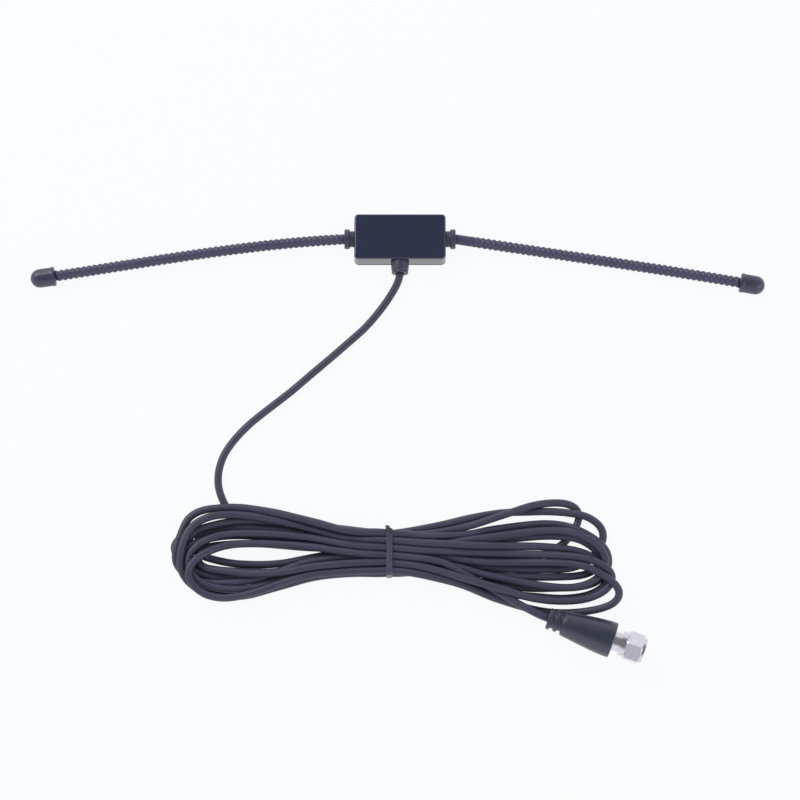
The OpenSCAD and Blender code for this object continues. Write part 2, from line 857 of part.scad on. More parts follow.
module plug_centre_pin() {
    tip = pin_diameter / 4;
    color([0.8, 0.6, 0.35])
        on_plug_axis() {
            translate([0, 0, pin_start])
                cylinder(d = pin_root_diameter, h = ferrule_front - pin_start);
            translate([0, 0, ferrule_front])
                cylinder(d = pin_diameter, h = nut_end + pin_proud - tip - ferrule_front);
            translate([0, 0, nut_end + pin_proud - tip])
                cylinder(d1 = pin_diameter, d2 = pin_diameter - 2 * tip, h = tip);
        }
}

// Screw nut: round shoulder, chamfered hexagon, round lip, and a collar that turns on the neck
module plug_nut() {
    hex_start = nut_start + nut_shoulder_length;
    hex_end = hex_start + nut_hex_length;
    corner = nut_across_flats / 2 / cos(30);
    fall = nut_chamfer * tan(30);
    color([0.83, 0.83, 0.87])
        on_plug_axis()
            difference() {
                union() {
                    translate([0, 0, nut_start])
                        cylinder(d = nut_round_diameter, h = nut_end - nut_start);
                    intersection() {
                        translate([0, 0, hex_start])
                            cylinder(r = corner, h = nut_hex_length, $fn = 6);
                        rotate_extrude()
                            polygon([
                                [0, hex_start],
                                [corner - nut_chamfer, hex_start],
                                [corner, hex_start + fall],
                                [corner, hex_end - fall],
                                [corner - nut_chamfer, hex_end],
                                [0, hex_end]
                            ]);
                    }
                }
                translate([0, 0, nut_start - 1])
                    cylinder(d = ferrule_neck_diameter + 2 * running_gap, h = nut_end);
                translate([0, 0, nut_start + nut_collar])
                    cylinder(d = nut_thread_diameter, h = nut_end);
            }
}

front_shell();
back_cover();
circuit_board();
balun_core();
balun_primary();
balun_secondary();
chip_capacitor();
rod_terminal(-1);  // left_terminal
rod_terminal(1);  // right_terminal
lead_terminal();
braid_saddle();
rod_grommet(-1);  // left_grommet
rod_grommet(1);  // right_grommet
rod_sleeve(LEFT);  // left_sleeve
rod_sleeve(RIGHT);  // right_sleeve
rod_wire(LEFT);  // left_wire
rod_wire(RIGHT);  // right_wire
tip_cap(LEFT);  // left_tip_cap
tip_cap(RIGHT);  // right_tip_cap
lead_gland();
lead_inner_end();
lead_run();
lead_hank();
lead_tail();
hank_tie();
plug_boot();
plug_lead_end();
plug_ferrule();
plug_dielectric();
plug_centre_pin();
plug_nut();
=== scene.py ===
"""Looks of the indoor dipole antenna: its lead, rods, housing and plug, and the floor and light."""
import math
from collections import namedtuple

import bmesh
import bpy
import numpy as np
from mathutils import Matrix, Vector


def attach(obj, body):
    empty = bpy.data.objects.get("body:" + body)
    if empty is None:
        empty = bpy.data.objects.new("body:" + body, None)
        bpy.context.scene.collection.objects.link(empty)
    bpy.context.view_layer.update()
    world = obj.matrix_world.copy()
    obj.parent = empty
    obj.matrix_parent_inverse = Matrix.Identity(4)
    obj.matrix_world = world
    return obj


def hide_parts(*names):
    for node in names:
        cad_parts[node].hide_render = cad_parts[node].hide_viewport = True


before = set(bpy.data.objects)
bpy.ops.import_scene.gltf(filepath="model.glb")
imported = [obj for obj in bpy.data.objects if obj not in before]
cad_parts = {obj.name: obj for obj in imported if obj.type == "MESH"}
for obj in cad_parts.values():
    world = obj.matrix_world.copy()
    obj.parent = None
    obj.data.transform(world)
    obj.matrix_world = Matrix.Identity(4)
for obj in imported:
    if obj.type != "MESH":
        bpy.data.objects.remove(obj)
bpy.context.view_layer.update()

# Lengths below are in millimetres, as in the part's source, and MM turns them into metres
MM = 0.001
# The part's two bodies
ANTENNA = "antenna"
NUT = "coupling_nut"
# Height of the rods and of the gland above the table, and where the lead leaves the gland
AXIS_HEIGHT = 4.6
EXIT_Y = -14.65

# Camera: the photograph's frame is a square of PHOTO_SIZE pixels
PHOTO_SIZE = 800
SENSOR = 36
LENS = 110.8
CLIP_START = 50
CLIP_END = 20000
CAMERA_DISTANCE = 1000
CAMERA_TARGET = np.array([0, -66.5, 0])
ELEVATION = math.radians(77.5)
FOCAL_PIXELS = LENS / SENSOR * PHOTO_SIZE
CAMERA_BACK = np.array([0, -math.cos(ELEVATION), math.sin(ELEVATION)])
CAMERA_UP = np.array([0, math.sin(ELEVATION), math.cos(ELEVATION)])
CAMERA_PLACE = CAMERA_TARGET + CAMERA_DISTANCE * CAMERA_BACK


def make_camera():
    camera = bpy.data.objects.new("camera", bpy.data.cameras.new("camera"))
    bpy.context.scene.collection.objects.link(camera)
    camera.data.sensor_width = SENSOR
    camera.data.lens = LENS
    camera.data.clip_start = CLIP_START * MM
    camera.data.clip_end = CLIP_END * MM
    camera.location = Vector(CAMERA_PLACE * MM)
    camera.rotation_mode = "QUATERNION"
    camera.rotation_quaternion = (-Vector(CAMERA_BACK)).to_track_quat("-Z", "Y")
    bpy.context.scene.camera = camera


def seen_at(px, py, height):
    """Point at a height above the table that the camera sees at a pixel of the photograph."""
    middle = PHOTO_SIZE / 2
    ray = (px - middle) / FOCAL_PIXELS * np.array([1, 0, 0]) + (middle - py) / FOCAL_PIXELS * CAMERA_UP
    ray = ray - CAMERA_BACK
    return CAMERA_PLACE + (height - CAMERA_PLACE[2]) / ray[2] * ray


make_camera()

# Lead: its real length and section
LEAD_DIAMETER = 3.1
LEAD_RADIUS = LEAD_DIAMETER / 2
# Free run from the gland to the hank, and last run to the plug. Both count y from the gland's end.
RUN = [
    (0, 0, AXIS_HEIGHT), (0, -1.2, AXIS_HEIGHT), (-0.7, -3.2, 4.3), (-2.1, -6, 3.6), (-4, -9, 2.7),
    (-6.2, -12.2, 2), (-8.8, -15.6, 1.62), (-14.3, -22.1, LEAD_RADIUS), (-21.6, -28.8, LEAD_RADIUS),
    (-29.1, -35.5, LEAD_RADIUS), (-36.8, -42.2, LEAD_RADIUS), (-44.4, -48.9, LEAD_RADIUS),
    (-52.7, -55.5, LEAD_RADIUS), (-60.7, -62.1, LEAD_RADIUS), (-66.9, -68.7, LEAD_RADIUS),
    (-71.2, -75.3, LEAD_RADIUS), (-73.1, -81.9, LEAD_RADIUS), (-73, -88.4, LEAD_RADIUS),
    (-71, -94, LEAD_RADIUS), (-68.5, -98, LEAD_RADIUS),
]
PLUG_BACK = np.array([58.6, -141.8, 7.1])
PLUG_ANGLE = math.radians(-19)
PLUG_AXIS = np.array([math.cos(PLUG_ANGLE), math.sin(PLUG_ANGLE), 0])
# The lead enters the plug straight over this length
STRAIGHT_END = 3
TAIL = [
    (32, -127.4, 4.6), (40, -131.8, 5.2), (47, -136, 6), (52.5, -139, 6.6),
    tuple(PLUG_BACK - STRAIGHT_END * PLUG_AXIS), tuple(PLUG_BACK),
]

# Hank: the tie's place, and the heights of the three layers of strands that it holds
TIE_X = -4.2
BUNDLE_Y = EXIT_Y - 115.2
LAYER_HEIGHTS = (2.05, 4.7, 7.35)
# Loops are points of the photograph: pixel across, pixel down, and the layer that the strand lies on
LAYER_STEP = 2.65
# Each turn of the hank: its slot (layer, offset) in the tie on the way out, its right loop, its slot on
# the way back, and its left loop
TURNS = [
    ((1, 6.2), [
        (430, 534, 1), (467, 527.3, 1), (506, 515.5, 1), (540, 505.8, .6), (558, 504.4, .3),
        (569, 505.8, .1), (577, 510.5, 0), (579.6, 518, 0), (576, 528, 0), (563, 545, 0), (540, 557, 0),
        (490, 562, 0), (430, 550, 0),
    ], (0, 1.6), [
        (350, 553.5, 0), (320, 560, 0), (288, 567, 0), (244, 568.3, 0), (215, 563, 0), (202, 558.5, 0),
        (193.5, 552.5, 0), (190, 545, 0), (192, 538, .5), (198.5, 532.9, 1.1), (206, 530, 1.2),
        (213, 528, 1.2), (230, 524.4, 1.1), (254, 522.3, 1.1), (284, 525.2, 1), (313, 529.2, .6),
        (350, 532.5, 0),
    ]),
    ((0, 7.4), [
        (430, 530, 0), (470, 520.2, 0), (500, 515, 0), (545, 512.8, .6), (575, 515.5, 1), (592, 521.5, .5),
        (602.8, 533.5, 0), (600.5, 548.5, 0), (589, 562.5, 0), (572, 569.8, 0), (545, 571.2, 0),
        (500, 570, 0), (430, 558, 0),
    ], (0, -1.6), [
        (350, 560, 0), (313, 566.4, 0), (275, 573.6, 0), (244, 573.6, 0), (215, 572.4, 0),
        (191, 567.5, 0), (176.5, 558.5, .2), (172.8, 550, .3), (176.5, 541, .5), (186, 536, .6),
        (199, 535.5, .1), (213, 530.4, 0), (230, 527, 0), (254, 526.2, 0), (284, 528.5, 0),
        (313, 532.4, 0), (350, 539, 0),
    ]),
    ((0, 4.6), [
        (430, 540.5, 0), (480, 540.6, 0), (548, 535.5, 0), (577, 537.5, .5), (590, 543, .8),
        (598.5, 550, .8), (602, 558.5, .8), (599, 566, .6), (591, 571.6, .4), (580, 574.6, .2),
        (562, 576, 0), (530, 576.4, 0), (480, 574, 0), (430, 565.5, 0),
    ], (0, -4.6), [
        (350, 566.5, 0), (310, 573, 0), (275, 581, 0), (244, 581, 0), (216, 578.5, 0), (194, 571, 0),
        (182.5, 560, .8), (186, 548, 1), (199, 541.5, .4), (213, 537.5, 0), (230, 534.8, 0),
        (254, 534.4, 0), (284, 536, 0), (320, 539, .4), (350, 541, 1),
    ]),
    ((1, 3.1), [
        (430, 544, 1), (480, 538.5, .5), (548, 532, .5), (577, 536, .9), (597, 547, 1.2), (604.5, 560, 1.2),
        (602.5, 572.5, 1), (593.5, 582, 1), (576, 588.2, 1), (550, 588, .8), (490, 578, .3), (430, 562.5, 1),
    ], (1, -3.1), [
        (350, 557.5, 1), (310, 564, .8), (270, 578, .7), (240, 583, .3), (212, 582.5, .3),
        (192, 576, .5), (179.5, 564, .5), (178.5, 549, .5), (183.5, 534, .5), (190, 519.5, .4),
        (202, 512.2, .3), (218, 510, .2), (240, 509.6, .3), (260, 512.4, .6), (301, 521, 1.2),
        (350, 532.4, 2),
    ]),
    ((2, 7.2), [
        (430, 537.2, 2), (465, 536, 1.5), (490, 531, .8), (548, 525.8, .3), (575, 531, 1),
        (597.5, 543.5, 1.6), (607, 555, 1.5), (606.5, 569.5, 1), (598, 581.5, .5), (580, 587.6, 0),
        (560, 588.4, 0), (525, 588, 0), (480, 581, 0), (430, 570.5, .3),
    ], (0, -7.3), [
        (350, 570, .5), (313, 572.5, .6), (275, 583, .3), (245, 592, 0), (215, 592, .2), (195, 584, .8),
        (183, 569, 1.4), (182.5, 551, 1.5), (187, 534.5, 1.5), (196.5, 522, 1.5), (213, 514.4, 1.5),
        (230, 512.8, 1.3), (254, 514.5, 1.3), (284, 519.5, 1.4), (313, 526.5, 1.6), (350, 537.6, 2),
    ]),
    ((2, 4.6), [
        (430, 544.3, 2), (480, 546.6, 1.2), (548, 547.2, .6), (584, 552, 1.3), (602, 561.5, 2),
        (608.5, 572, 2), (605, 584, 1), (590, 593.4, .3), (565, 597.4, 0), (537, 595.6, 0),
        (490, 589.6, .5), (430, 572, 1),
    ], (1, -6.2), [
        (350, 565.5, 1.1), (313, 566.5, 1.2), (280, 576, .9), (248, 586, .5), (218, 586, .6),
        (198, 579, 1.2), (187, 565, 1.8), (189, 551, 1.8), (199, 542, 1.4), (213, 536, 1), (230, 533, 1),
        (254, 532.6, 1), (284, 534.4, 1.2), (313, 538, 1.5), (350, 545.2, 2),
    ]),
    ((2, 1.55), [
        (430, 551.3, 2), (480, 553, 1.2), (548, 555.9, .8), (587, 560, 1.6), (605, 567.5, 2.4),
        (611.5, 578, 1.6), (607, 589, 1.1), (590, 598.6, .9), (565, 602.2, .9), (530, 599.8, .9),
        (485, 587, 1.2), (441, 573, 2), (425, 568.8, 2),
    ], (2, -4.65), [
        (350, 564.5, 2), (313, 568, 2), (280, 574, 1.6), (250, 575, 1.2), (222, 571, 1.2),
        (209, 569.3, 1.3), (200, 565.3, 1.5), (196, 557.5, 1.6), (199.5, 550.3, 1.1), (208, 547, .4),
        (222, 545, 0), (242, 543, 0), (265, 542.8, 0), (300, 545, .5), (350, 548.5, 1),
    ]),
    ((1, 0), [
        (430, 554, 1), (480, 561, 1.4), (548, 561.2, 1.2), (583, 564, 2.2), (603, 572.5, 3), (615, 584, 1.5),
        (619, 593, .5), (615, 601.5, 0), (603, 607, 0), (575, 610.9, 0), (545, 609.5, 0),
        (500, 597.6, 0), (460, 582, .7), (430, 573.8, 1.8), (410, 570, 2.1),
    ], (2, -6.9), [
        (350, 568.5, 2.1), (313, 571, 1.9), (283, 579.5, 1.5), (255, 590.5, .9), (225, 597.4, .6),
        (203, 592.5, 1.4), (190, 580, 2), (187.8, 568, 2.7), (194, 558, 3), (208, 549.8, 2.4),
        (228, 544.2, 1.4), (256, 542.5, 1.2), (284, 543.8, 1.2), (310, 546, 1.4), (350, 552, 2),
    ]),
]
# The lead's way into the first turn, and from the last turn to the tail
WAY_IN = [(238, 515.4, 0), (248, 518, 0), (262, 519, 0), (284, 521, 0), (313, 526.5, .4), (350, 534.4, 1)]
LAST_SLOT = (2, -1.55)
WAY_OUT = [(430, 559.5, 2), (445, 563.2, 2), (455, 567.8, 2), (463, 573, 1.8)]

# Settling: rounds, how often neighbours are looked up, how far beyond touch, and how many steps along
# the lead are no neighbours
SETTLE_ROUNDS = 500
LOOK_EVERY = 8
LOOK_BEYOND = 2.5
STEPS_APART = 6
TOUCHES = 3
# Each round the lead sinks by its weight, is drawn back to its place across, and is held smooth
WEIGHT = 0.04
DRAW_BACK = 0.03
SIDE_STIFFNESS = 0.4
SIDE_SPANS = (1, 2, 4, 8)
RISE_STIFFNESS = 0.25
RISE_SPANS = (1, 2, 4, 6)
# Strands start this many times as far above the table as their layer says, the tie holds this share of
# the way to the next point on either side of a slot, and the settled line is smoothed this often
START_LIFT = 1.5
HELD_REACH = 0.07
SMOOTHING_PASSES = 3


def loop_points(points):
    return [seen_at(px, py, LEAD_RADIUS + LAYER_STEP * layer) for px, py, layer in points]


def slot_point(slot):
    layer, offset = slot
    return np.array([TIE_X, BUNDLE_Y + offset, LAYER_HEIGHTS[layer]])


def lead_route():
    """Route points from the gland to the plug, and which of them the tie holds."""
    points = [np.array([x, y + EXIT_Y, z]) for x, y, z in RUN] + loop_points(WAY_IN)
    held = []
    for slot_out, right_loop, slot_back, left_loop in TURNS:
        held.append(len(points))
        points += [slot_point(slot_out)] + loop_points(right_loop)
        held.append(len(points))
        points += [slot_point(slot_back)] + loop_points(left_loop)
    held.append(len(points))
    points += [slot_point(LAST_SLOT)] + loop_points(WAY_OUT)
    points += [np.array([x, y + EXIT_Y, z]) for x, y, z in TAIL]
    return np.array(points), held


def even_steps(points, marks, step):
    """Points a step apart along a polyline, with the marks carried along."""
    reach = np.r_[0, np.cumsum(np.linalg.norm(np.diff(points, axis=0), axis=1))]
    at = np.linspace(0, reach[-1], int(round(reach[-1] / step)) + 1)
    even = np.stack([np.interp(at, reach, points[:, k]) for k in range(3)], 1)
    return even, np.interp(at, reach, marks)


def smooth_curve(points, steps=24):
    """Smooth curve through the points, with each point's index as a mark."""
    ends = np.vstack([2 * points[0] - points[1], points, 2 * points[-1] - points[-2]])
    out, marks = [], []
    for i in range(1, len(ends) - 2):
        a, b, c, d = ends[i - 1], ends[i], ends[i + 1], ends[i + 2]
        t1 = np.linalg.norm(b - a) ** 0.5
        t2 = t1 + np.linalg.norm(c - b) ** 0.5
        t3 = t2 + np.linalg.norm(d - c) ** 0.5
        t = np.linspace(t1, t2, steps, endpoint=False)[:, None]
        ab = (t1 - t) / t1 * a + t / t1 * b
        bc = (t2 - t) / (t2 - t1) * b + (t - t1) / (t2 - t1) * c
        cd = (t3 - t) / (t3 - t2) * c + (t - t2) / (t3 - t2) * d
        abc = (t2 - t) / t2 * ab + t / t2 * bc
        bcd = (t3 - t) / (t3 - t1) * bc + (t - t1) / (t3 - t1) * cd
        out.append((t2 - t) / (t2 - t1) * abc + (t - t1) / (t2 - t1) * bcd)
        marks += [i - 1 + k / steps for k in range(steps)]
    return np.vstack(out + [ends[-2][None]]), np.array(marks + [len(points) - 1])


def close_pairs(points, reach, skip):
    """Pairs of points within reach of each other that are more than skip places apart."""
    square = (points * points).sum(1)
    apart = square[:, None] + square[None, :] - 2 * points @ points.T
    i, j = np.nonzero(apart < reach * reach)
    keep = j - i > skip
    return i[keep], j[keep]


def settle(start, free):
    """Lets the lead sink under its weight, stay smooth and lie on itself a diameter apart."""
    x = start.copy()
    count = len(x)
    for turn in range(SETTLE_ROUNDS):
        if turn % LOOK_EVERY == 0:
            near_i, near_j = close_pairs(x, LEAD_DIAMETER + LOOK_BEYOND, STEPS_APART)
        easing = 1 - 0.5 * turn / SETTLE_ROUNDS
        aside = (x - start)[:, :2] * (1 - DRAW_BACK * free * easing)[:, None]
        for m in SIDE_SPANS:
            halfway = (aside[:-2 * m] + aside[2 * m:]) / 2
            aside[m:-m] += SIDE_STIFFNESS * free[m:-m, None] * (halfway - aside[m:-m])
        x[:, :2] = start[:, :2] + aside
        height = x[:, 2] - WEIGHT * free
        for m in RISE_SPANS:
            lean = np.zeros(count)
            lean[m:-m] = (height[:-2 * m] + height[2 * m:]) / 2 - height[m:-m]
            curl = np.zeros(count)
            curl[2 * m:-2 * m] = (lean[m:-3 * m] + lean[3 * m:-m]) / 2 - lean[2 * m:-2 * m]
            height = height - RISE_STIFFNESS * free * curl
        x[:, 2] = height
        for _ in range(TOUCHES):
            gap = x[near_j] - x[near_i]
            length = np.linalg.norm(gap, axis=1)
            hit = length < LEAD_DIAMETER
            i, j, gap, length = near_i[hit], near_j[hit], gap[hit], length[hit]
            push = (LEAD_DIAMETER - length)[:, None] * gap / np.maximum(length, 1e-6)[:, None]
            share = np.maximum(free[i] + free[j], 1e-9)
            move = np.stack([
                np.bincount(j, push[:, k] * free[j] / share, count)
                - np.bincount(i, push[:, k] * free[i] / share, count) for k in range(3)
            ], 1)
            hits = np.bincount(i, minlength=count) + np.bincount(j, minlength=count)
            x += move / np.maximum(1, hits * 0.5)[:, None]
            x[:, 2] = np.where(free > 0, np.maximum(x[:, 2], LEAD_RADIUS), x[:, 2])
    return x


def lead_centreline():
    """The settled lead: centreline from the gland to the plug."""
    points, held = lead_route()
    curve, marks = smooth_curve(points)
    curve, marks = even_steps(curve, marks, LEAD_RADIUS)
    nearly = 0.01
    fixed = (marks <= len(RUN) - 1 + nearly) | (marks >= len(points) - len(TAIL) - nearly)
    for i in held:
        fixed |= np.abs(marks - i) < HELD_REACH
    free = np.where(fixed, 0.0, 1.0)
    lifted = curve.copy()
    raised = LEAD_RADIUS + START_LIFT * (curve[:, 2] - LEAD_RADIUS)
    lifted[:, 2] = np.where(fixed, curve[:, 2], raised)
    settled = settle(lifted, free)
    for _ in range(SMOOTHING_PASSES):
        settled[1:-1] = (settled[:-2] + 2 * settled[1:-1] + settled[2:]) / 4
    return smooth_curve(settled, 2)[0]


# Edges sharper than this, in degrees, stay crisp: on new pieces, and on those from the CAD
CRISP_ABOVE = 35
CAD_CRISP_ABOVE = 28


def shade_smooth(thing, angle=CRISP_ABOVE):
    """Smooth shading with sharp edges kept."""
    mesh = thing.data
    mesh.polygons.foreach_set("use_smooth", [True] * len(mesh.polygons))
    mesh.set_sharp_from_angle(angle=math.radians(angle))


# Materials: how the colour drifts between its two shades, and how much detail each noise has
DRIFT_FROM = 0.3
DRIFT_TO = 0.7
DRIFT_DETAIL = 4
GRAIN_DETAIL = 3
SMOOTHEST = 0.02


def finish_of(name, colour, roughness, metal=0.0, grain=0.3, depth=0.004, mottle=0.15, patch=6.0,
              specular=0.5, coat=0.0, stretch=(1, 1, 1), spread=0.08, second=None):
    """Procedural material: fine grain in the surface, and slow drifts of colour and roughness.

    grain and patch are sizes in mm, depth is the grain's depth in mm. The colour drifts to a second
    one where that is given, else to a paler shade of itself.
    """
    material = bpy.data.materials.new(name)
    material.use_nodes = True
    tree = material.node_tree
    nodes, links = tree.nodes, tree.links
    nodes.clear()
    out = nodes.new("ShaderNodeOutputMaterial")
    shader = nodes.new("ShaderNodeBsdfPrincipled")
    links.new(shader.outputs[0], out.inputs[0])
    shader.inputs["Metallic"].default_value = metal
    shader.inputs["Specular IOR Level"].default_value = specular
    shader.inputs["Coat Weight"].default_value = coat
    place = nodes.new("ShaderNodeTexCoord")
    scale = nodes.new("ShaderNodeMapping")
    scale.inputs["Scale"].default_value = stretch
    links.new(place.outputs["Object"], scale.inputs["Vector"])
    drift = nodes.new("ShaderNodeTexNoise")
    drift.inputs["Scale"].default_value = 1 / (patch * MM)
    drift.inputs["Detail"].default_value = DRIFT_DETAIL
    links.new(scale.outputs[0], drift.inputs["Vector"])
    tint = nodes.new("ShaderNodeValToRGB")
    deep, pale = tint.color_ramp.elements
    deep.position = DRIFT_FROM
    pale.position = DRIFT_TO
    deep.color = [c * (1 - mottle) for c in colour] + [1]
    pale.color = [min(1, c * (1 + mottle)) for c in second or colour] + [1]
    links.new(drift.outputs["Fac"], tint.inputs["Fac"])
    links.new(tint.outputs["Color"], shader.inputs["Base Color"])
    fine = nodes.new("ShaderNodeTexNoise")
    fine.inputs["Scale"].default_value = 1 / (grain * MM)
    fine.inputs["Detail"].default_value = GRAIN_DETAIL
    links.new(scale.outputs[0], fine.inputs["Vector"])
    polish = nodes.new("ShaderNodeMapRange")
    polish.inputs["To Min"].default_value = max(SMOOTHEST, roughness - spread)
    polish.inputs["To Max"].default_value = min(1, roughness + spread)
    links.new(drift.outputs["Fac"], polish.inputs["Value"])
    links.new(polish.outputs[0], shader.inputs["Roughness"])
    bump = nodes.new("ShaderNodeBump")
    bump.inputs["Strength"].default_value = 1
    bump.inputs["Distance"].default_value = depth * MM
    links.new(fine.outputs["Fac"], bump.inputs["Height"])
    links.new(bump.outputs[0], shader.inputs["Normal"])
    return material


SHELL = finish_of(
    "shell_gloss", (0.011, 0.016, 0.05), 0.12, grain=0.5, depth=0.001, mottle=0.1, patch=9, specular=0.9,
    coat=0.4, spread=0.02)
COVER = finish_of(
    "cover_matte", (0.01, 0.012, 0.024), 0.6, grain=0.35, depth=0.012, mottle=0.15, specular=0.15)
RUBBER = finish_of(
    "soft_rubber", (0.036, 0.04, 0.08), 0.36, grain=0.3, depth=0.008, mottle=0.15, specular=0.7)
SLEEVE = finish_of(
    "ribbed_sleeve", (0.058, 0.05, 0.13), 0.4, grain=0.25, depth=0.008, mottle=0.1, patch=2.5,
    second=(0.048, 0.06, 0.098))
JACKET = finish_of(
    "lead_jacket", (0.051, 0.056, 0.094), 0.42, grain=0.6, depth=0.005, mottle=0.12, patch=12, specular=0.4)
BOOT = finish_of(
    "moulded_boot", (0.02, 0.026, 0.054), 0.33, grain=0.3, depth=0.004, mottle=0.12, specular=0.9,
    spread=0.04)
TIE = finish_of("tie_strip", (0.06, 0.068, 0.108), 0.3, grain=0.4, depth=0.008, mottle=0.12, patch=3)
NICKEL = finish_of(
    "nickel_plate", (0.72, 0.7, 0.76), 0.14, metal=1, grain=0.12, depth=0.0008, mottle=0.12, patch=0.8)
PIN = finish_of(
    "copper_pin", (0.72, 0.42, 0.24), 0.24, metal=1, grain=0.1, depth=0.002, mottle=0.12, patch=1)
BRASS = finish_of(
    "tinned_brass", (0.62, 0.5, 0.28), 0.3, metal=1, grain=0.1, depth=0.003, mottle=0.15, patch=1)
STEEL = finish_of(
    "rod_steel", (0.5, 0.5, 0.53), 0.3, metal=1, grain=0.08, depth=0.003, stretch=(0.2, 1, 1))
INSULATOR = finish_of("white_insulator", (0.78, 0.77, 0.73), 0.4, grain=0.2, depth=0.004, mottle=0.04)
LAMINATE = finish_of(
    "board_laminate", (0.02, 0.14, 0.06), 0.35, grain=0.3, depth=0.006, mottle=0.2, patch=1.2)
FERRITE = finish_of("ferrite", (0.035, 0.035, 0.038), 0.6, grain=0.12, depth=0.012, mottle=0.2, patch=1)
COPPER = finish_of("enamelled_copper", (0.6, 0.24, 0.1), 0.25, metal=1, grain=0.1, depth=0.002, coat=0.6)
CERAMIC = finish_of("chip_ceramic", (0.42, 0.3, 0.18), 0.45, grain=0.1, depth=0.004, mottle=0.12, patch=0.8)

# Nodes that keep their CAD shape, and their materials
CARRIED = {
    "front_shell": SHELL, "back_cover": COVER, "circuit_board": LAMINATE, "balun_core": FERRITE,
    "balun_primary": COPPER, "balun_secondary": COPPER, "chip_capacitor": CERAMIC,
    "left_terminal": BRASS, "right_terminal": BRASS, "lead_terminal": BRASS, "braid_saddle": BRASS,
    "left_wire": STEEL, "right_wire": STEEL, "lead_inner_end": JACKET, "plug_lead_end": JACKET,
    "plug_ferrule": NICKEL, "plug_dielectric": INSULATOR, "plug_centre_pin": PIN, "plug_nut": NICKEL,
}
for node_name, material in CARRIED.items():
    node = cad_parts[node_name]
    node.data.materials.clear()
    node.data.materials.append(material)
    shade_smooth(node, CAD_CRISP_ABOVE)


def declare(thing, material, body=ANTENNA, stands_for=()):
    """Gives a new piece its material and its body, and hides the CAD nodes that it stands for."""
    thing.data.materials.append(material)
    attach(thing, body)
    if stands_for:
        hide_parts(*stands_for)
    return thing


def mesh_piece(name, points, faces, angle=CRISP_ABOVE):
    """Mesh from points in mm, with its faces turned outward."""
    mesh = bpy.data.meshes.new(name)
    mesh.from_pydata([tuple(np.asarray(p) * MM) for p in points], [], faces)
    mesh.validate()
    thing = bpy.data.objects.new(name, mesh)
    bpy.context.scene.collection.objects.link(thing)
    work = bmesh.new()
    work.from_mesh(mesh)
    bmesh.ops.recalc_face_normals(work, faces=work.faces)
    work.to_mesh(mesh)
    work.free()
    shade_smooth(thing, angle)
    return thing


def unit(v):
    return np.asarray(v, float) / np.linalg.norm(v)


def square_to(axis):
    """Two directions square to an axis, the first of them level."""
    side = unit(np.cross([0, 0, 1], axis))
    return side, np.cross(axis, side)


# Radii below this count as lying on the axis, and a rounded corner takes this share of an edge at most
ON_AXIS = 1e-6
CORNER_SHARE = 0.45


def softened(outline, radius, steps=4):
    """Closed outline with its corners rounded. Corners on the axis stay."""
    out = []
    for i, corner in enumerate(outline):
        before, after = np.array(outline[i - 1], float), np.array(outline[(i + 1) % len(outline)], float)
        corner = np.array(corner, float)
        if corner[1] < ON_AXIS:
            out.append(tuple(corner))
            continue
        room = min(np.linalg.norm(before - corner), np.linalg.norm(after - corner))
        cut = min(radius, CORNER_SHARE * room)
        a, b = corner + cut * unit(before - corner), corner + cut * unit(after - corner)
        for t in np.linspace(0, 1, steps + 1):
            out.append(tuple((1 - t) ** 2 * a + 2 * t * (1 - t) * corner + t * t * b))
    return out


def turned(name, outline, origin, axis, sides=72):
    """Solid of revolution. The outline is a closed list of (along, radius)."""
    side, up = square_to(axis)
    points, rings = [], []
    for along, radius in outline:
        count = 1 if radius < ON_AXIS else sides
        rings.append((len(points), count))
        for k in range(count):
            a = 2 * math.pi * k / sides
            points.append(origin + along * axis + radius * (math.cos(a) * side + math.sin(a) * up))
    faces = []
    for (first, count), (then, after) in zip(rings, rings[1:] + rings[:1]):
        if count == 1 and after == 1:
            continue
        for k in range(sides):
            n = (k + 1) % sides
            if count == 1:
                faces.append((first, then + k, then + n))
            elif after == 1:
                faces.append((first + k, then, first + n))
            else:
                faces.append((first + k, then + k, then + n, first + n))
    return mesh_piece(name, points, faces)


def swept(name, rings, closed=False, angle=CRISP_ABOVE):
    """Skin through rings of points, with flat ends unless it closes on itself."""
    sides = len(rings[0])
    points = [p for ring in rings for p in ring]
    faces = []
    last = len(rings) if closed else len(rings) - 1
    for i in range(last):
        a, b = i * sides, (i + 1) % len(rings) * sides
        faces += [(a + k, b + k, b + (k + 1) % sides, a + (k + 1) % sides) for k in range(sides)]
    if not closed:
        faces += [tuple(range(sides)), tuple(range(len(points) - sides, len(points)))]
    return mesh_piece(name, points, faces, angle)


# Rods: which side, how far the tip is swept toward the viewer, the first two coefficients of the curve,
# the tip's x, how far from the grommet's mouth the ridges start, and over what length they grow
Rod = namedtuple("Rod", "side sweep first second reach plain_length growth")
RODS = {
    "left": Rod(-1, 17, 0.38, 1.12, 151, 1, 2),
    "right": Rod(1, 20, 1, -0.15, 149, 5, 6),
}
# Both grommets' mouths, the height that the tips rest at, and the holes that the rods sit in
MOUTH_X = 22.75
REST_HEIGHT = 3.95
ROD_BORE = 2.35
HEADING_STEP = 0.2
# Sleeves: the ridge winds round them, and they stop END_GAP short of the caps' inner ends
SLEEVE_START = 15.85
SLEEVE_RADIUS = 2.05
SLEEVE_SIDES = 36
END_GAP = 0.1
RIDGE_HEIGHT = 0.46
RIDGE_PITCH = 2.25
RIDGE_FULLNESS = 0.7
RINGS_PER_PITCH = 12


def rod_point(rod, x):
    u = max(0, (x - MOUTH_X) / (rod.reach - MOUTH_X))
    bend = rod.first * u + rod.second * u * u + (1 - rod.first - rod.second) * u ** 3
    drop = (REST_HEIGHT - AXIS_HEIGHT) * u * u * (3 - 2 * u)
    return np.array([rod.side * x, -rod.sweep * bend, AXIS_HEIGHT + drop])


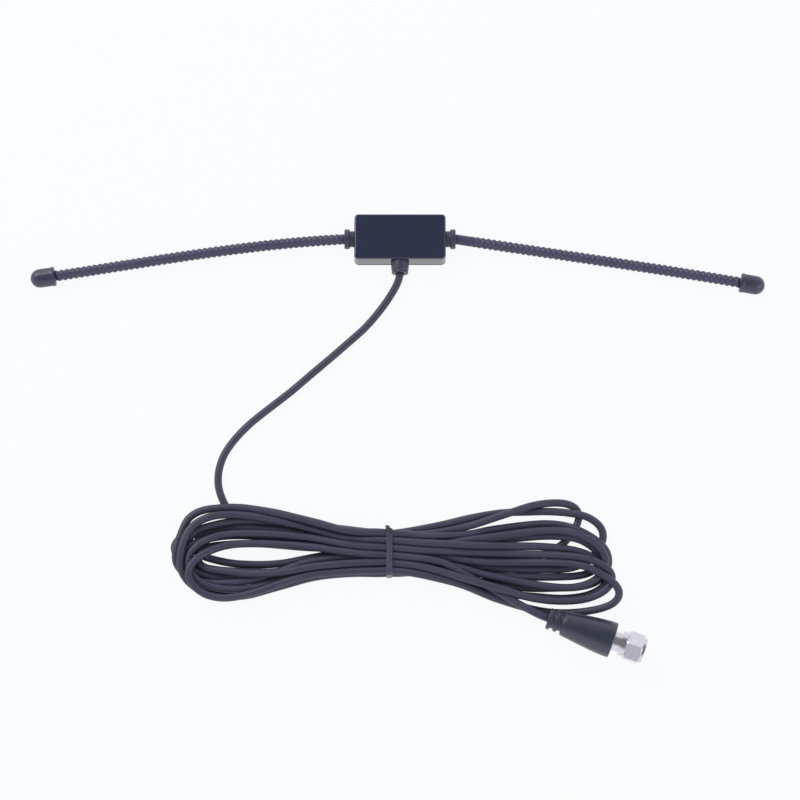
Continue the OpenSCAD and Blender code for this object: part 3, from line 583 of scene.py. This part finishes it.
def rod_heading(rod, x):
    return unit(rod_point(rod, x + HEADING_STEP) - rod_point(rod, x - HEADING_STEP))


def make_sleeve(name):
    """Sleeve with one ridge that winds along it like a screw's."""
    rod = RODS[name]
    rings = []
    for x in np.arange(SLEEVE_START, rod.reach - CAP_END - END_GAP, RIDGE_PITCH / RINGS_PER_PITCH):
        centre, axis = rod_point(rod, x), rod_heading(rod, x)
        side, up = square_to(axis)
        strength = min(1, max(0, (x - MOUTH_X - rod.plain_length) / rod.growth))
        ring = []
        for k in range(SLEEVE_SIDES):
            a = 2 * math.pi * k / SLEEVE_SIDES
            wave = 0.5 + 0.5 * math.cos(a - 2 * math.pi * x / RIDGE_PITCH)
            radius = SLEEVE_RADIUS + RIDGE_HEIGHT * strength * (wave ** RIDGE_FULLNESS - 0.5)
            ring.append(centre + radius * (math.cos(a) * side + math.sin(a) * up))
        rings.append(ring)
    sleeve = swept(name + "_ribbed_sleeve", rings, angle=80)
    declare(sleeve, SLEEVE, stands_for=[name + "_sleeve"])


# Caps: a square-cut mouth with a low rim, and a domed end
CAP_RADIUS = 3.8
CAP_LENGTH = 10
CAP_END = 2.6
RIM_RADIUS = CAP_RADIUS + 0.15
RIM_LENGTH = 1.1
RIM_FADE = 1.5
CAP_SWELL = 0.02
SWELL_FROM_DOME = 0.6
CAP_ROUNDING = 0.2
DOME_ANGLES = np.linspace(0.05, 1.5, 16)


def make_cap(name):
    rod = RODS[name]
    tip, axis = rod_point(rod, rod.reach), rod_heading(rod, rod.reach)
    dome = [(CAP_RADIUS * (math.sin(a) - 1), CAP_RADIUS * math.cos(a)) for a in DOME_ANGLES]
    outline = [
        (-CAP_LENGTH, ROD_BORE), (-CAP_LENGTH, RIM_RADIUS), (-CAP_LENGTH + RIM_LENGTH, RIM_RADIUS),
        (-CAP_LENGTH + RIM_FADE, CAP_RADIUS), (-CAP_RADIUS - SWELL_FROM_DOME, CAP_RADIUS + CAP_SWELL),
    ]
    inside = [(0, 0), (-CAP_END, 0), (-CAP_END, ROD_BORE)]
    outline = softened(outline + dome + inside, CAP_ROUNDING, 3)
    cap = turned(name + "_cap", outline, tip, axis, sides=64)
    declare(cap, RUBBER, stands_for=[name + "_tip_cap"])


# Housing: an upright box whose walls lean in, with round corners and a round top edge
HOUSING = (38, 19.6, 9.2)
COVER_THICKNESS = 1.2
WALL_LEAN = 0.35
WALL_THICKNESS = 1.2
WALL_X = HOUSING[0] / 2 - WALL_LEAN
WALL_Y = HOUSING[1] / 2 - WALL_LEAN
INNER_X = WALL_X - WALL_THICKNESS
INNER_Y = WALL_Y - WALL_THICKNESS
INNER_CORNER = 1
FOOT_CORNER = 2
TOP_CORNER = 1.5
LEAST_CORNER = 0.2
TOP_EDGE = 0.75
TOP_RIM = 0.3
SEAM_DEPTH = 0.15
WALL_FROM = 2


def box_ring(half_x, half_y, corner, height, steps=10):
    """Level ring round a rectangle with round corners."""
    ring = []
    for turn in range(4):
        sx, sy = (1, 1, -1, -1)[turn], (-1, 1, 1, -1)[turn]
        for a in np.linspace(-90, 0, steps + 1) + 90 * turn:
            ring.append(np.array([
                sx * (half_x - corner) + corner * math.cos(math.radians(a)),
                sy * (half_y - corner) + corner * math.sin(math.radians(a)), height,
            ]))
    return ring


def make_shell():
    """Skin from the cavity's roof down inside the wall, round the foot, and up over the top edge."""
    length, depth, height = HOUSING
    rings = []
    for z in np.linspace(height - WALL_THICKNESS, COVER_THICKNESS, 5):
        rings.append(box_ring(INNER_X, INNER_Y, INNER_CORNER, z))

    def outer(z, inset=0.0):
        up = (z - COVER_THICKNESS) / (height - COVER_THICKNESS)
        lean = WALL_LEAN * z / height + inset
        corner = FOOT_CORNER + (TOP_CORNER - FOOT_CORNER) * up - inset
        rings.append(box_ring(length / 2 - lean, depth / 2 - lean, max(LEAST_CORNER, corner), z))

    outer(COVER_THICKNESS, SEAM_DEPTH)
    outer(COVER_THICKNESS + SEAM_DEPTH)
    for z in np.linspace(WALL_FROM, height - TOP_EDGE, 6):
        outer(z)
    for a in np.radians(np.linspace(15, 90, 6)):
        outer(height - TOP_EDGE + TOP_EDGE * math.sin(a), TOP_EDGE * (1 - math.cos(a)))
    outer(height, TOP_EDGE + TOP_RIM)
    shell = swept("housing_shell", rings, angle=40)
    declare(shell, SHELL, stands_for=["front_shell"])


# Grommets and gland: a collar inside the wall, a seat in its hole, and an outline of (distance from the
# wall, radius) outside it
COLLAR_LENGTH = 1.2
COLLAR_RADIUS = 3.1
SEAT_RADIUS = 2.7
LEAD_BORE = 1.6
GROMMET_ROUNDING = 0.25
GLAND_ROUNDING = 0.4
GROMMET_OUTSIDE = [(0, 3.3), (2, 3.3), (2, 4.05), (4.1, 4.05), (4.1, ROD_BORE)]
GLAND_OUTSIDE = [
    (0, 3.8), (3.8, 3.5), (4, 3.25), (4.3, 3.25), (4.5, 3.4), (5.2, 3.35), (5.2, 2.1), (4.7, LEAD_BORE),
]


def through_wall(bore, outside):
    """Outline of a piece that sits in a hole of the wall, from the collar inside it outward."""
    inside = [
        (-COLLAR_LENGTH, bore), (-COLLAR_LENGTH, COLLAR_RADIUS), (0, COLLAR_RADIUS), (0, SEAT_RADIUS),
        (WALL_THICKNESS, SEAT_RADIUS),
    ]
    return inside + [(WALL_THICKNESS + along, radius) for along, radius in outside]


def make_grommet(name):
    side = RODS[name].side
    origin, axis = np.array([side * INNER_X, 0, AXIS_HEIGHT]), np.array([side, 0, 0])
    outline = softened(through_wall(ROD_BORE, GROMMET_OUTSIDE), GROMMET_ROUNDING, 4)
    grommet = turned(name + "_rod_grommet", outline, origin, axis)
    declare(grommet, RUBBER, stands_for=[name + "_grommet"])


def make_gland():
    origin, axis = np.array([0, -INNER_Y, AXIS_HEIGHT]), np.array([0, -1, 0])
    outline = softened(through_wall(LEAD_BORE, GLAND_OUTSIDE), GLAND_ROUNDING, 5)
    gland = turned("lead_strain_relief", outline, origin, axis)
    declare(gland, RUBBER, stands_for=["lead_gland"])


# Plug: distances along its axis from the back of the boot
PLUG_ORIGIN = PLUG_BACK + np.array([0, EXIT_Y, 0])
BOOT_LENGTH = 27
BOOT_RADIUS = 7.1
BOOT_ROUNDING = 0.5
BOOT_FLARE = [(6, 4.8), (8, 5.15), (14, 6), (20, 6.75), (24, BOOT_RADIUS)]
# Its shallow mouth, and the socket that holds the ferrule
MOUTH_DEPTH = 0.4
MOUTH_RADIUS = 5.2
MOUTH_FLOOR_RADIUS = 4.9
SOCKET_RADIUS = 3.95
SOCKET_START = 16
# The boot's back end flexes: two grooves between rings
FLEX_RING = 4.3
FLEX_GROOVE = 3.5
FLEX_WIDTH = 1.5
# Thread inside the nut, from its collar to its lip
THREAD_START = 31.9
THREAD_END = 39.5
THREAD_RADIUS = 4.36
THREAD_ROOT = THREAD_RADIUS + 0.02
THREAD_HEIGHT = 0.42
THREAD_PITCH = 0.8
THREAD_SIDES = 48
# Its section along the axis: where the flat crest starts and ends, and where the root ends
CREST_FROM = 0.3
CREST_TO = 0.4
ROOT_TO = 0.7


def make_boot():
    ring, groove, width = FLEX_RING, FLEX_GROOVE, FLEX_WIDTH
    inner = BOOT_LENGTH - MOUTH_DEPTH
    outline = [
        (0, LEAD_BORE), (0, ring), (width, ring), (width, groove), (2 * width, groove), (2 * width, ring),
        (3 * width, ring), (3 * width, groove), (4 * width, groove), *BOOT_FLARE,
        (BOOT_LENGTH, BOOT_RADIUS), (BOOT_LENGTH, MOUTH_RADIUS), (inner, MOUTH_FLOOR_RADIUS),
        (inner, SOCKET_RADIUS), (SOCKET_START, SOCKET_RADIUS), (SOCKET_START, LEAD_BORE),
    ]
    outline = softened(outline, BOOT_ROUNDING, 4)
    boot = turned("moulded_boot", outline, PLUG_ORIGIN, PLUG_AXIS, sides=96)
    declare(boot, BOOT, stands_for=["plug_boot"])
    return boot


def make_thread():
    """Helical ridge inside the nut that fades out over half a turn at each end."""
    side, up = square_to(PLUG_AXIS)
    rings = []
    turns = (THREAD_END - THREAD_START - THREAD_PITCH) / THREAD_PITCH
    for i in range(int(turns * THREAD_SIDES) + 1):
        turn = i / THREAD_SIDES
        a = 2 * math.pi * turn
        outward = math.cos(a) * side + math.sin(a) * up
        crest = THREAD_RADIUS - min(1, 2 * turn, 2 * (turns - turn)) * THREAD_HEIGHT
        centre = PLUG_ORIGIN + (THREAD_START + THREAD_PITCH * turn) * PLUG_AXIS
        rings.append([
            centre + THREAD_ROOT * outward,
            centre + CREST_FROM * PLUG_AXIS + crest * outward,
            centre + CREST_TO * PLUG_AXIS + crest * outward,
            centre + ROOT_TO * PLUG_AXIS + THREAD_ROOT * outward,
        ])
    thread = swept("nut_thread", rings, angle=50)
    declare(thread, NICKEL, body=NUT)
    return thread


# Tie: a thin strip round the strands, and its two ends twisted together on the far side
TIE_THICKNESS = 0.5
TIE_HALF_WIDTH = 1.2
# It looks for strands this far across, and its middle line stays this high above the table
TIE_REACH = 16
TIE_LOWEST = 0.33
TIE_CLEARANCE = 0.02
TIE_STEP = 0.35
# The twist starts this far back from the bundle's far edge, and its size swells and fades along it
TWIST_SET_BACK = 2.2
TWIST_LENGTH = 2.6
TWIST_LEAN = 1.1
TWIST_LIFT = 0.5
TWIST_TURNS = 1.2
TWIST_HALF_WIDTH = 1.35
TWIST_HALF_THICKNESS = 0.7
TWIST_STEPS = 40
TWIST_SIDES = 16
TAPER_FROM = 0.12
TAPER_SPAN = 0.8


def outer_line(points):
    """Convex line round points of a plane."""
    points = sorted(map(tuple, points))

    def half(run):
        line = []
        for p in run:
            while len(line) > 1 and (
                (line[-1][0] - line[-2][0]) * (p[1] - line[-2][1])
                <= (line[-1][1] - line[-2][1]) * (p[0] - line[-2][0])
            ):
                line.pop()
            line.append(p)
        return line[:-1]

    return np.array(half(points) + half(points[::-1]))


def make_tie(centreline):
    """Strip that follows the outer line of the strands under it, and its twisted ends."""
    near = centreline[np.abs(centreline[:, 0] - TIE_X) < TIE_HALF_WIDTH]
    near = near[np.abs(near[:, 1] - BUNDLE_Y) < TIE_REACH]
    grow = LEAD_RADIUS + TIE_THICKNESS / 2 + TIE_CLEARANCE
    circle = [(grow * math.cos(a), grow * math.sin(a)) for a in np.linspace(0, 2 * math.pi, 32)]
    line = outer_line([(y + dy, z + dz) for _, y, z in near for dy, dz in circle])
    closed = np.vstack([line, line[:1]])
    closed = np.column_stack([np.zeros(len(closed)), closed])
    path, _ = even_steps(closed, np.zeros(len(closed)), TIE_STEP)
    path = path[:-1]
    path[:, 2] = np.maximum(path[:, 2], TIE_LOWEST)
    for _ in range(3):
        path = (np.roll(path, 1, axis=0) + 2 * path + np.roll(path, -1, axis=0)) / 4
    half, thick = TIE_HALF_WIDTH, TIE_THICKNESS / 2
    shoulder, flank, ridge = 0.7 * thick, 0.8 * thick, 1.3 * thick
    section = [
        (-half, 0), (-half + 0.1, shoulder), (-half + 0.3, flank), (-0.35, flank), (0, ridge),
        (0.35, flank), (half - 0.3, flank), (half - 0.1, shoulder), (half, 0),
        (half - 0.15, -thick), (-half + 0.15, -thick),
    ]
    rings = []
    for i in range(len(path)):
        ahead = unit(path[(i + 1) % len(path)] - path[i - 1])
        outward = np.array([0, ahead[2], -ahead[1]])
        rings.append([
            path[i] + np.array([TIE_X + across, 0, 0]) + out * outward for across, out in section
        ])
    tie = swept("hank_tie_strip", rings, closed=True, angle=60)
    declare(tie, TIE, stands_for=["hank_tie"])
    start = path[:, 1].max() - TWIST_SET_BACK
    crest = path[path[:, 1] > start, 2].max()
    rings = []
    for t in np.linspace(0, 1, TWIST_STEPS + 1):
        centre = np.array([
            TIE_X - TWIST_LEAN * t, start + TWIST_LENGTH * t, crest + TWIST_LIFT * (1 - t * t),
        ])
        size = math.sin(math.pi * (TAPER_FROM + TAPER_SPAN * t)) ** 0.5
        a = TWIST_TURNS * 2 * math.pi * t
        flat = np.array([math.cos(a), 0, math.sin(a)])
        deep = np.array([-math.sin(a), 0, math.cos(a)])
        wide, thin = TWIST_HALF_WIDTH * flat, TWIST_HALF_THICKNESS * deep
        rings.append([
            centre + size * (math.cos(b) * wide + math.sin(b) * thin)
            for b in np.linspace(0, 2 * math.pi, TWIST_SIDES, endpoint=False)
        ])
    twist = swept("tie_twist", rings, angle=60)
    declare(twist, TIE)
    return tie, twist


def make_lead(centreline):
    """The whole lead in one piece, from the gland to the plug."""
    curve = bpy.data.curves.new("lead", "CURVE")
    curve.dimensions = "3D"
    curve.bevel_depth = LEAD_RADIUS * MM
    curve.bevel_resolution = 5
    curve.use_fill_caps = True
    spline = curve.splines.new("POLY")
    spline.points.add(len(centreline) - 1)
    flat = np.column_stack([centreline * MM, np.ones(len(centreline))])
    spline.points.foreach_set("co", flat.ravel())
    spline.use_smooth = True
    lead = bpy.data.objects.new("lead", curve)
    bpy.context.scene.collection.objects.link(lead)
    return declare(lead, JACKET, stands_for=["lead_run", "lead_hank", "lead_tail"])


centreline = lead_centreline()
lead = make_lead(centreline)
tie, twist = make_tie(centreline)
boot = make_boot()
thread = make_thread()
for rod_name in RODS:
    make_sleeve(rod_name)
    make_cap(rod_name)
    make_grommet(rod_name)
make_gland()
make_shell()


# Floor and light, in metres and watts
FLOOR_COLOUR = (0.86, 0.86, 0.87, 1)
FLOOR_SIZE = 4
FLOOR_DROP = 0.00002
FLOOR_GLOW = 0.93
# What the camera sees of the floor and the room, and what lights them
SEEN_COLOUR = (0.985, 0.99, 1, 1)
ROOM_COLOUR = (1, 1, 1, 1)
ROOM_LIGHT = 0.62
# What gloss sees of the room: pale near the table, dim overhead
GLOSS_COLOUR = (0.95, 0.96, 1, 1)
ROOM_PALE = 1
ROOM_DIM = 0.24
PALE_BELOW = 0.4
DIM_ABOVE = 0.85
PANELS = [
    # name, place in m, aim in m, size in m, watts
    ("key_panel", (-0.75, 0.7, 0.85), (0, -0.06, 0), 0.8, 7.5),
    ("fill_panel", (0.9, -0.7, 0.8), (0, -0.06, 0), 0.9, 3.0),
]


def seen_directly(nodes, links):
    """1 for rays from the camera, from gloss and through glass."""
    path = nodes.new("ShaderNodeLightPath")
    total = path.outputs["Is Camera Ray"]
    for name in ("Is Glossy Ray", "Is Transmission Ray"):
        add = nodes.new("ShaderNodeMath")
        add.operation = "MAXIMUM"
        links.new(total, add.inputs[0])
        links.new(path.outputs[name], add.inputs[1])
        total = add.outputs[0]
    return total


def make_floor():
    half = FLOOR_SIZE / 2
    corners = [(-half, -half, 0), (half, -half, 0), (half, half, 0), (-half, half, 0)]
    mesh = bpy.data.meshes.new("floor")
    mesh.from_pydata(corners, [], [(0, 1, 2, 3)])
    floor = bpy.data.objects.new("floor", mesh)
    bpy.context.scene.collection.objects.link(floor)
    floor.location = (0, 0, -FLOOR_DROP)
    material = bpy.data.materials.new("floor_white")
    material.use_nodes = True
    nodes, links = material.node_tree.nodes, material.node_tree.links
    nodes.clear()
    out = nodes.new("ShaderNodeOutputMaterial")
    diffuse = nodes.new("ShaderNodeBsdfDiffuse")
    diffuse.inputs["Color"].default_value = FLOOR_COLOUR
    glow = nodes.new("ShaderNodeEmission")
    glow.inputs["Color"].default_value = SEEN_COLOUR
    glow.inputs["Strength"].default_value = 1
    share = nodes.new("ShaderNodeMath")
    share.operation = "MULTIPLY"
    share.inputs[1].default_value = FLOOR_GLOW
    links.new(seen_directly(nodes, links), share.inputs[0])
    mix = nodes.new("ShaderNodeMixShader")
    links.new(share.outputs[0], mix.inputs[0])
    links.new(diffuse.outputs[0], mix.inputs[1])
    links.new(glow.outputs[0], mix.inputs[2])
    links.new(mix.outputs[0], out.inputs[0])
    mesh.materials.append(material)


def make_room():
    """White room and two panels: one look for the camera, one for gloss, and one that lights the scene."""
    world = bpy.data.worlds.new("room")
    bpy.context.scene.world = world
    world.use_nodes = True
    nodes, links = world.node_tree.nodes, world.node_tree.links
    nodes.clear()
    out = nodes.new("ShaderNodeOutputWorld")
    lit = nodes.new("ShaderNodeBackground")
    lit.inputs["Color"].default_value = ROOM_COLOUR
    lit.inputs["Strength"].default_value = ROOM_LIGHT
    seen = nodes.new("ShaderNodeBackground")
    seen.inputs["Color"].default_value = SEEN_COLOUR
    seen.inputs["Strength"].default_value = 1
    mix = nodes.new("ShaderNodeMixShader")
    links.new(seen_directly(nodes, links), mix.inputs[0])
    links.new(lit.outputs[0], mix.inputs[1])
    links.new(seen.outputs[0], mix.inputs[2])
    sky = nodes.new("ShaderNodeNewGeometry")
    split = nodes.new("ShaderNodeSeparateXYZ")
    links.new(sky.outputs["Incoming"], split.inputs[0])
    fall = nodes.new("ShaderNodeMapRange")
    fall.inputs["From Min"].default_value = -DIM_ABOVE
    fall.inputs["From Max"].default_value = -PALE_BELOW
    fall.inputs["To Min"].default_value = ROOM_DIM
    fall.inputs["To Max"].default_value = ROOM_PALE
    links.new(split.outputs["Z"], fall.inputs["Value"])
    gloss = nodes.new("ShaderNodeBackground")
    gloss.inputs["Color"].default_value = GLOSS_COLOUR
    links.new(fall.outputs[0], gloss.inputs["Strength"])
    reflect = nodes.new("ShaderNodeMixShader")
    path = nodes.new("ShaderNodeLightPath")
    links.new(path.outputs["Is Glossy Ray"], reflect.inputs[0])
    links.new(mix.outputs[0], reflect.inputs[1])
    links.new(gloss.outputs[0], reflect.inputs[2])
    links.new(reflect.outputs[0], out.inputs[0])
    for name, place, aim, size, watts in PANELS:
        lamp = bpy.data.lights.new(name, "AREA")
        lamp.size = size
        lamp.energy = watts
        light = bpy.data.objects.new(name, lamp)
        bpy.context.scene.collection.objects.link(light)
        light.location = place
        light.rotation_euler = (Vector(aim) - Vector(place)).to_track_quat("-Z", "Y").to_euler()


make_floor()
make_room()
bpy.context.scene.view_settings.view_transform = "Standard"
